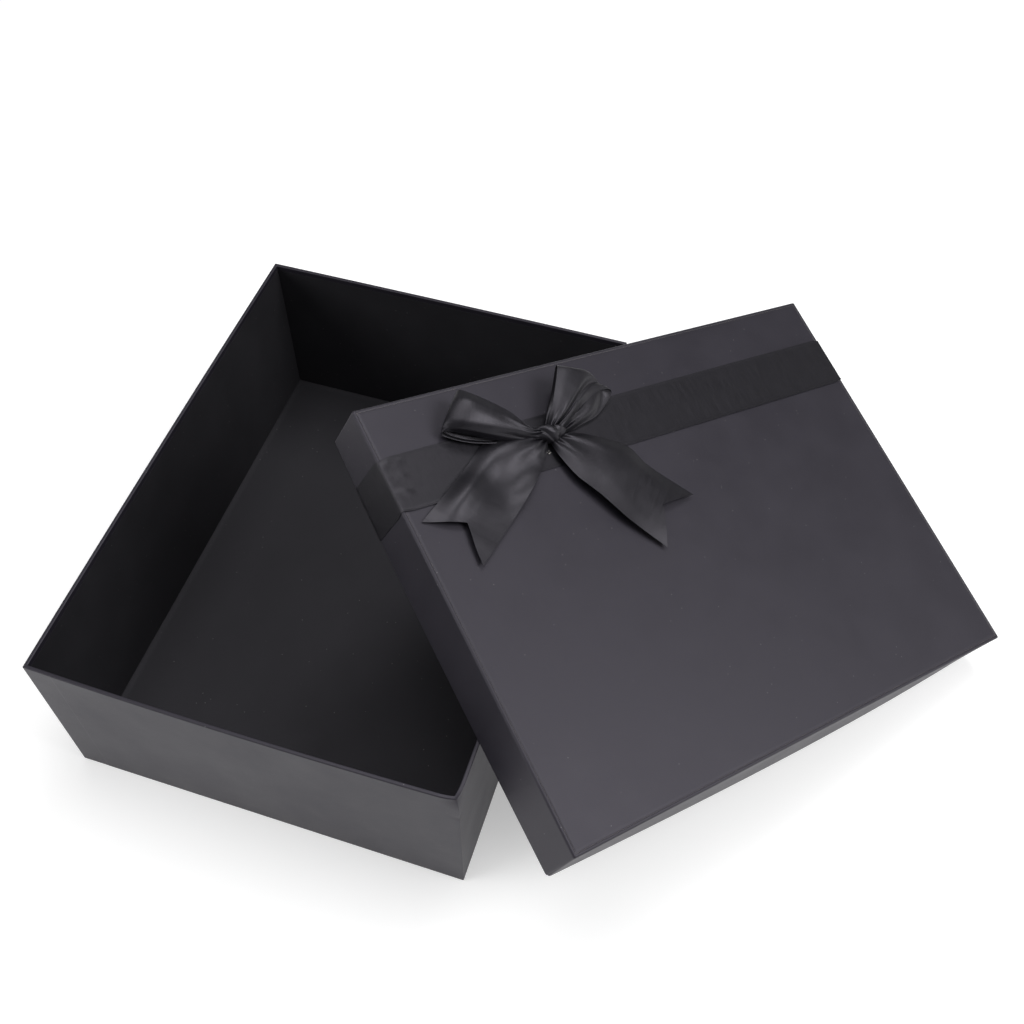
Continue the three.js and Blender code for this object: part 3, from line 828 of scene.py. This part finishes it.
CREASES = {  # each crease's start across the ribbon, slant, depth, width and run, the rest in shares
    "left tail": ((0.3, 0.5, 2.0, 0.05, 0.1), (0.6, 0.2, 2.2, 0.06, 0.12), (0.85, 0.0, 1.5, 0.05, 0.1)),
    "right tail": ((0.28, 0.3, 2.4, 0.06, 0.12), (0.6, 0.4, 2.0, 0.06, 0.1)),
    "left loop": ((0.72, 0.1, 2.0, 0.09, 0.8),),
    "right loop": ((0.55, 0.5, 3.2, 0.08, 0.8),),
    "knot": ((0.25, 0.35, 1.3, 0.05, 9), (0.55, 0.3, 1.1, 0.05, 9), (0.82, -0.15, 0.8, 0.05, 9)),
}
GATHER = 9.0  # how quickly the pleats die away from the knot
UNDER_GATHER = 2.4  # how much deeper a loop's pleats are on its way back, beneath, than on its way out
HELD = 0.15  # the share of a ribbon's length that the knot holds free of small waves
FLUTTER_REACH = 14.0  # how long those waves are
LOWEST = 0.9  # the bow stays this far above the lid's top
TAIL_GRID, LOOP_GRID, KNOT_GRID = (72, 150), (96, 170), (64, 64)  # faces across and along each ribbon


def curve_between(before, start, end, after, share):
    """A point on the smooth curve from start to end, which its neighbours steer."""
    return 0.5 * (
        2 * start
        + (end - before) * share
        + (2 * before - 5 * start + 4 * end - after) * share ** 2
        + (3 * start - before - 3 * end + after) * share ** 3
    )


def along(points, place):
    """The point at a place along a row of points, where 0 is the first and 1 the next."""
    last = len(points) - 1
    at = min(int(place), last - 1)
    before = points[at - 1] if at > 0 else 2 * points[0] - points[1]
    after = points[at + 2] if at + 2 <= last else 2 * points[last] - points[last - 1]
    return curve_between(before, points[at], points[at + 1], after, place - at)


def on_net(net, u, v):
    """The point of a net at u along the ribbon and v across it, each from 0 to 1."""
    return along([along(row, v * (len(row) - 1)) for row in net], u * (len(net) - 1))


def bow_ribbon(name, node, net, grid, flat, pleats, deep, seed, loop=False, notch=0.0, flutter=1.0,
               creases=()):
    """A length of the bow's ribbon through a net of points. It is pleated where it goes into the knot, at
    both ends if it is a loop. A tail ends in a swallow-tail cut, notch deep as a share of its last row."""
    net = [[Vector(point) for point in row] for row in net]
    tight = GATHER * (2 if loop else 1)
    bm = bmesh.new()
    bmesh.ops.create_grid(bm, x_segments=grid[0], y_segments=grid[1], size=1.0)
    uv = bm.loops.layers.uv.new("ribbon")
    shares = {}
    for vert in bm.verts:
        v, u = (vert.co.x + 1) / 2, (vert.co.y + 1) / 2
        shares[vert] = (u * (1 - notch * (1 - abs(2 * v - 1)) / (len(net) - 1)), v)
    for vert, (u, v) in shares.items():
        spot = on_net(net, u, v)
        gather = math.exp(-u * tight) + (UNDER_GATHER * math.exp(-(1 - u) * tight / 2) if loop else 0.0)
        fold = deep * gather * math.cos(2 * math.pi * pleats * v + seed)
        free = smoothstep(u, 0.0, HELD) * (smoothstep(1 - u, 0.0, HELD) if loop else 1.0)
        wave = flutter * sizes().flutter / MM * free * noise.noise(
            Vector((spot.x / FLUTTER_REACH, spot.y / FLUTTER_REACH, seed * 3 + u * 2)))
        pinch = sum(
            sunk * math.exp(-u / reach) * peak(v, start + slant * u, wide)
            for start, slant, sunk, wide, reach in creases)
        vert.co = Vector((spot.x, spot.y, LID_TOP + max(spot.z + fold + wave - pinch, LOWEST)))
    for face in bm.faces:
        for corner in face.loops:
            u, v = shares[corner.vert]
            corner[uv].uv = (u * flat * MM, v * RIBBON_WIDTH * MM)
    piece = set_piece(bm, name, "lid", "satin_ribbon", LID_PLACE, (node,),
                      thickness=sizes().ribbon_cloth, offset=0.0)


def make_tails():
    for side, net, flat, pleats, seed, notch in (
        ("left", LEFT_TAIL, 112, 3.5, 0.4, 0.515),
        ("right", RIGHT_TAIL, 108, 3.0, 2.1, 0.46),
    ):
        bow_ribbon(f"bow_tail_{side}", f"bow_{side}_tail", net, TAIL_GRID, flat, pleats, deep=1.5,
                   seed=seed, notch=notch, creases=CREASES[f"{side} tail"])


def make_loops():
    for side, net, flat, deep, seed, rests_on in (
        ("left", LEFT_LOOP, 138, 1.5, 1.0, ("ribbon_satin_band", "bow_tail_left")),
        ("right", RIGHT_LOOP, 110, 1.1, 3.0, ("ribbon_satin_band",)),
    ):
        bow_ribbon(f"bow_loop_{side}", f"bow_{side}_loop", net, LOOP_GRID, flat, pleats=4.0, deep=deep,
                   seed=seed, loop=True, creases=CREASES[f"{side} loop"])


def make_knot():
    bow_ribbon("bow_knot_wrap", "bow_knot", KNOT, KNOT_GRID, flat=24, pleats=2.0, deep=0.0, seed=0.0,
               loop=True, flutter=0.5, creases=CREASES["knot"])


GLUE_LIFT = 0.5  # how far the specks' undersides are above the lid's top, on the bow's ribbon
GLUE_LUMPS = 0.25  # how uneven they are
GLUE_SMEAR = (1.2, 0.8, 1.0)  # they are drawn out along the ribbon
GLUE_SPECKS = (  # place on the lid, width and height of each speck
    (-82.0, 85.5, 0.5, 0.45),
    (-80.5, 86.0, 0.32, 0.3),
    (-83.2, 86.6, 0.28, 0.25),
    (-81.2, 87.3, 0.25, 0.25),
)


def make_glue():
    bm = bmesh.new()
    for x, y, wide, tall in GLUE_SPECKS:
        made = bmesh.ops.create_icosphere(bm, subdivisions=3, radius=1.0)
        for vert in made["verts"]:
            swell = 1 + GLUE_LUMPS * noise.noise(vert.co * 1.7 + Vector((x, y, 0)))
            vert.co = Vector([c * size * smear * swell for c, size, smear in zip(
                vert.co, (wide, wide, tall), GLUE_SMEAR)])
            vert.co += Vector((x, y, LID_TOP + GLUE_LIFT + tall))
    set_piece(bm, "bow_glue_specks", "lid", "glue", LID_PLACE, ("bow_glue_dot",))


# -------------------- stage

SOFTBOXES = (  # name, place, aim, side of the square, power
    ("right_softbox", (1.5, 0.1, 1.3), (0.25, 0.0, 0.05), 1.0, 21.0),
    ("overhead_softbox", (-0.1, 0.0, 2.0), (0.0, 0.0, 0.0), 1.2, 12.5),
    ("back_softbox", (0.25, 1.0, 1.9), (0.0, 0.0, 0.1), 0.7, 11.0),
    ("left_softbox", (-1.1, -0.9, 0.8), (0.1, 0.0, 0.2), 0.8, 8.0),
)
FLOOR_HALF = 6.0  # half the side of the floor, in metres
FLOOR_WHITE = (0.75, 0.75, 0.75, 1.0)
FLOOR_GLOW = 0.4  # keeps the floor white away from the lights
SKY_GLOW = 0.2
CAMERA_PLACE = (0.2489, -0.4422, 0.7679)
CAMERA_TURN = (33.522, 0.956, 18.653)  # degrees
CAMERA_LENS = 40.972  # millimetres, on a sensor 36 mm wide
CAMERA_SHIFT = (0.0377, 0.0694)
WHITE = (1, 1, 1, 1)


def make_stage():
    bm = bmesh.new()
    bmesh.ops.create_grid(bm, x_segments=1, y_segments=1, size=FLOOR_HALF)
    mesh = bpy.data.meshes.new("studio_floor")
    bm.to_mesh(mesh)
    bm.free()
    floor = put("studio_floor", mesh)
    material, tree = new_material("studio_floor_white")
    diffuse = add(tree, "BsdfDiffuse", {"Color": FLOOR_WHITE})
    glow = add(tree, "Emission", {"Color": WHITE, "Strength": FLOOR_GLOW})
    both = add(tree, "AddShader", {0: (diffuse, 0), 1: (glow, 0)})
    add(tree, "OutputMaterial", {"Surface": (both, 0)})
    mesh.materials.append(material)

    world = bpy.data.worlds.new("studio")
    world.use_nodes = True
    world.node_tree.nodes.clear()
    sky = add(world.node_tree, "Background", {"Color": WHITE, "Strength": SKY_GLOW})
    add(world.node_tree, "OutputWorld", {"Surface": (sky, 0)})
    bpy.context.scene.world = world

    for name, place, aim, side, power in SOFTBOXES:
        data = bpy.data.lights.new(name, "AREA")
        data.shape = "SQUARE"
        data.size = side
        data.energy = power
        lamp = put(name, data)
        lamp.location = place
        lamp.rotation_euler = (Vector(aim) - Vector(place)).to_track_quat("-Z", "Y").to_euler()

    data = bpy.data.cameras.new("camera")
    data.lens = CAMERA_LENS
    data.sensor_width = 36.0
    data.shift_x, data.shift_y = CAMERA_SHIFT
    data.clip_start = 0.05
    camera = put("camera", data)
    camera.location = CAMERA_PLACE
    camera.rotation_euler = [math.radians(a) for a in CAMERA_TURN]
    bpy.context.scene.camera = camera
    bpy.context.scene.view_settings.view_transform = "Standard"


# -------------------- operators and panel


class GIFTBOX_OT_stage(bpy.types.Operator):
    """Set the white floor, the soft lights and the camera"""
    bl_idname = "giftbox.stage"
    bl_label = "Studio"

    def execute(self, context):
        make_stage()
        return {"FINISHED"}


class GIFTBOX_OT_base_boards(bpy.types.Operator):
    """Set the base's greyboard panels and the kraft tape at its corners"""
    bl_idname = "giftbox.base_boards"
    bl_label = "Base Boards"

    def execute(self, context):
        carcass("base", ("bottom", "left", "right", "front", "back"))
        return {"FINISHED"}


class GIFTBOX_OT_base_wrap(bpy.types.Operator):
    """Wrap the base in matt paper, over its rim and under its edges"""
    bl_idname = "giftbox.base_wrap"
    bl_label = "Base Wrap"

    def execute(self, context):
        make_base_wrap()
        bowed_copy("base_bottom_sheet", "base", "wrapping_paper")
        return {"FINISHED"}


class GIFTBOX_OT_base_lining(bpy.types.Operator):
    """Line the base's walls and lay the loose sheet on its floor"""
    bl_idname = "giftbox.base_lining"
    bl_label = "Base Lining"

    def execute(self, context):
        bowed_copy("base_side_lining", "base", "lining_paper")
        make_floor_liner()
        return {"FINISHED"}


class GIFTBOX_OT_lid_boards(bpy.types.Operator):
    """Set the lid's greyboard panels and the kraft tape at its corners"""
    bl_idname = "giftbox.lid_boards"
    bl_label = "Lid Boards"

    def execute(self, context):
        carcass("lid", ("top", "left", "right", "front", "back"))
        return {"FINISHED"}


class GIFTBOX_OT_lid_wrap(bpy.types.Operator):
    """Wrap the lid in matt paper and line it"""
    bl_idname = "giftbox.lid_wrap"
    bl_label = "Lid Wrap"

    def execute(self, context):
        make_lid_wrap()
        bowed_copy("lid_top_liner", "lid", "lining_paper")
        return {"FINISHED"}


class GIFTBOX_OT_ribbon_band(bpy.types.Operator):
    """Stretch the satin ribbon round the lid"""
    bl_idname = "giftbox.ribbon_band"
    bl_label = "Ribbon Band"

    def execute(self, context):
        make_band()
        return {"FINISHED"}


class GIFTBOX_OT_bow_tails(bpy.types.Operator):
    """Lay the bow's two swallow-tailed ends on the lid"""
    bl_idname = "giftbox.bow_tails"
    bl_label = "Bow Tails"

    def execute(self, context):
        make_tails()
        return {"FINISHED"}


class GIFTBOX_OT_bow_loops(bpy.types.Operator):
    """Fold the bow's two loops"""
    bl_idname = "giftbox.bow_loops"
    bl_label = "Bow Loops"

    def execute(self, context):
        make_loops()
        return {"FINISHED"}


class GIFTBOX_OT_bow_knot(bpy.types.Operator):
    """Wrap the ribbon round the middle of the bow"""
    bl_idname = "giftbox.bow_knot"
    bl_label = "Bow Knot"

    def execute(self, context):
        make_knot()
        return {"FINISHED"}


class GIFTBOX_OT_glue(bpy.types.Operator):
    """Dab the specks of glue that show beneath the knot"""
    bl_idname = "giftbox.glue"
    bl_label = "Glue Specks"

    def execute(self, context):
        make_glue()
        return {"FINISHED"}


STEPS = (
    GIFTBOX_OT_stage,
    GIFTBOX_OT_base_boards,
    GIFTBOX_OT_base_wrap,
    GIFTBOX_OT_base_lining,
    GIFTBOX_OT_lid_boards,
    GIFTBOX_OT_lid_wrap,
    GIFTBOX_OT_ribbon_band,
    GIFTBOX_OT_bow_tails,
    GIFTBOX_OT_bow_loops,
    GIFTBOX_OT_bow_knot,
    GIFTBOX_OT_glue,
)


class GIFTBOX_PT_panel(bpy.types.Panel):
    """Sizes, colours and steps of the gift box"""
    bl_idname = "GIFTBOX_PT_panel"
    bl_label = "Gift Box"
    bl_space_type = "VIEW_3D"
    bl_region_type = "UI"
    bl_category = "Gift Box"

    def draw(self, context):
        for step in STEPS:
            self.layout.operator(step.bl_idname)
        for group in (context.scene.gift_box_sizes, context.scene.gift_box_colours):
            column = self.layout.column(align=True)
            for name in type(group).__annotations__:
                column.prop(group, name)


CLASSES = (GiftBoxSizes, GiftBoxColours, *STEPS, GIFTBOX_PT_panel)


def register():
    for kind in CLASSES:
        bpy.utils.register_class(kind)
    bpy.types.Scene.gift_box_sizes = PointerProperty(type=GiftBoxSizes)
    bpy.types.Scene.gift_box_colours = PointerProperty(type=GiftBoxColours)


def unregister():
    del bpy.types.Scene.gift_box_colours
    del bpy.types.Scene.gift_box_sizes
    for kind in reversed(CLASSES):
        bpy.utils.unregister_class(kind)


def main():
    register()
    bpy.ops.giftbox.stage()
    bpy.ops.giftbox.base_boards()
    bpy.ops.giftbox.base_wrap()
    bpy.ops.giftbox.base_lining()
    bpy.ops.giftbox.lid_boards()
    bpy.ops.giftbox.lid_wrap()
    bpy.ops.giftbox.ribbon_band()
    bpy.ops.giftbox.bow_tails()
    bpy.ops.giftbox.bow_loops()
    bpy.ops.giftbox.bow_knot()
    bpy.ops.giftbox.glue()


if __name__ == "__main__":
    main()
